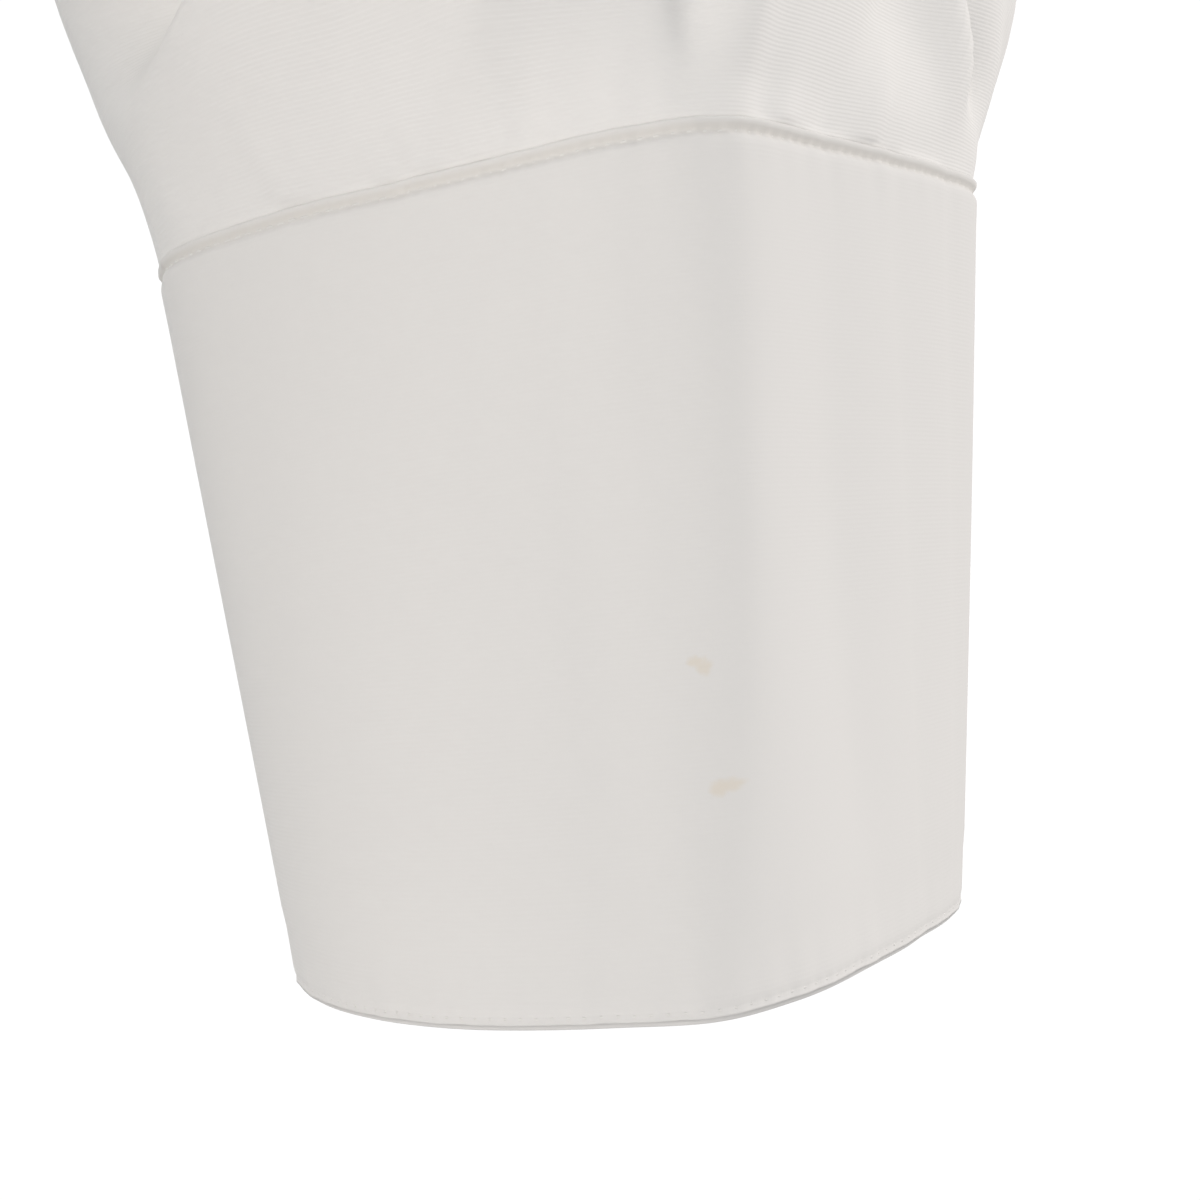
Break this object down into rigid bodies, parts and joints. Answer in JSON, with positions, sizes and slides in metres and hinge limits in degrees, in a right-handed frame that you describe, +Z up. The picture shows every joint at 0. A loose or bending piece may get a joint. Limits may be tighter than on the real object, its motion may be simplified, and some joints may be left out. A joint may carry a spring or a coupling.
{
  "type": "long sleeve dress shirt",
  "caption": "Long sleeve dress shirt, filled out as if worn, with a turned-down collar, buttoned front, curved hem and deep buttoned cuffs.",
  "frame": {"origin": "middle of the neck opening, level with the side of the neck seam, where the wearer's shoulders carry the yoke", "axes": "+Z up the body, out through the neck; -Y is the way the shirt faces; +X is the wearer's left"},
  "size_m": [0.7549, 0.2518, 0.8047],
  "materials": {
    "cotton": "plain poplin weave with a fine rib, washed and unstarched",
    "pearl_button": "polished, faintly pearly"
  },
  "bodies": {
    "root": {"back": "cotton", "yoke": "cotton", "front_left": "cotton", "front_right": "cotton", "front_placket": "cotton", "collar_stand": "cotton", "collar_leaf": "cotton", "sleeve_left": "cotton", "sleeve_right": "cotton", "sleeve_placket_left": "cotton", "sleeve_placket_right": "cotton", "cuff_left": "cotton", "cuff_right": "cotton", "button_collar": "pearl_button", "button_front_1": "pearl_button", "button_front_2": "pearl_button", "button_front_3": "pearl_button", "button_front_4": "pearl_button", "button_front_5": "pearl_button", "button_front_6": "pearl_button", "button_cuff_left": "pearl_button", "button_cuff_right": "pearl_button", "button_sleeve_left": "pearl_button", "button_sleeve_right": "pearl_button"}
  },
  "joints": []
}
